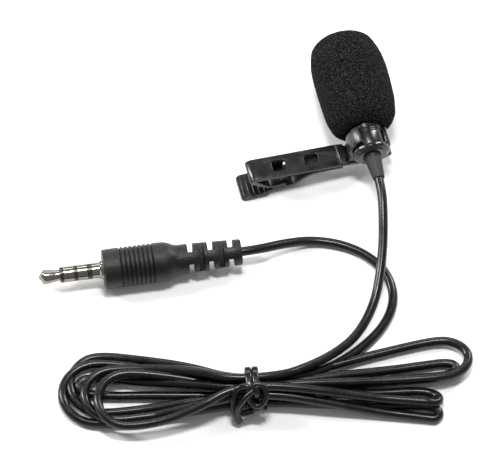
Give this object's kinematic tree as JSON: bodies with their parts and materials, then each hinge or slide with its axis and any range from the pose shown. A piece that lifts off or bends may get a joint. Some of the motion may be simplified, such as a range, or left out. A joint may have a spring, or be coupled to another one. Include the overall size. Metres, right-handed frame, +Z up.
{
  "type": "lavalier microphone",
  "caption": "Clip-on lavalier microphone with foam windscreen, sprung tie clip, folded lead held by a twist tie, and 3.5 mm headset plug.",
  "frame": {"origin": "on the surface that the microphone lies on, under the middle of the microphone and its clip, without the lead", "axes": "+Y along the microphone's axis towards the windscreen, the clip's jaws point to -X, +Z up"},
  "size_m": [0.0903, 0.094, 0.018],
  "materials": {
    "open_cell_foam": "matt, open-celled",
    "barrel_plastic": "satin",
    "clip_plastic": "satin",
    "soft_pvc": "fine grain",
    "cord_pvc": "glossy",
    "tie_plastic": "glossy",
    "nickel": "polished",
    "steel": "plain",
    "aluminium": "drawn",
    "brass": "plain",
    "insulator": "moulded",
    "white_plastic": "moulded",
    "film": "thin film",
    "circuit_board": "solder mask",
    "soft_rubber": "matt",
    "felt": "felted",
    "wire_insulation": "extruded"
  },
  "bodies": {
    "microphone": {"mic_housing": "barrel_plastic", "rear_cap": "barrel_plastic", "strain_relief_boot": "soft_pvc", "front_grille": "steel", "acoustic_felt": "felt", "capsule_can": "aluminium", "capsule_diaphragm": "film", "capsule_spacer": "film", "capsule_backplate": "brass", "capsule_insulator": "white_plastic", "capsule_circuit_board": "circuit_board", "capsule_gasket": "soft_rubber", "signal_wires": "wire_insulation", "mic_lead": "cord_pvc", "cord_hank": "cord_pvc", "cord_tie": "tie_plastic", "plug_lead": "cord_pvc", "plug_tip": "nickel", "plug_insulator_front": "insulator", "plug_ring_front": "nickel", "plug_insulator_middle": "insulator", "plug_ring_rear": "nickel", "plug_insulator_rear": "insulator", "plug_sleeve": "nickel", "plug_inner_mould": "insulator", "plug_overmould": "soft_pvc"},
    "windscreen": {"foam_windscreen": "open_cell_foam"},
    "clip": {"clip_front_jaw": "clip_plastic", "clip_pivot_pin": "steel", "clip_spring": "steel"},
    "jaw": {"clip_rear_jaw": "clip_plastic"}
  },
  "joints": [
    {"name": "windscreen_pull", "type": "slide", "parent": "microphone", "child": "windscreen", "axis": [0, 1, 0], "range_m": [0, 0.02]},
    {"name": "clip_swivel", "type": "hinge", "parent": "microphone", "child": "clip", "pos_m": [0.01054, -0.00825, 0.00969], "axis": [0, 1, 0], "continuous": true},
    {"name": "jaw_open", "type": "hinge", "parent": "clip", "child": "jaw", "pos_m": [0.00439, -0.00825, 0.00556], "axis": [0, -1, 0], "range_deg": [0, 9], "stiffness_Nm_per_rad": 0.1, "springref_deg": -17.19, "deforming": ["clip_spring"]}
  ]
}
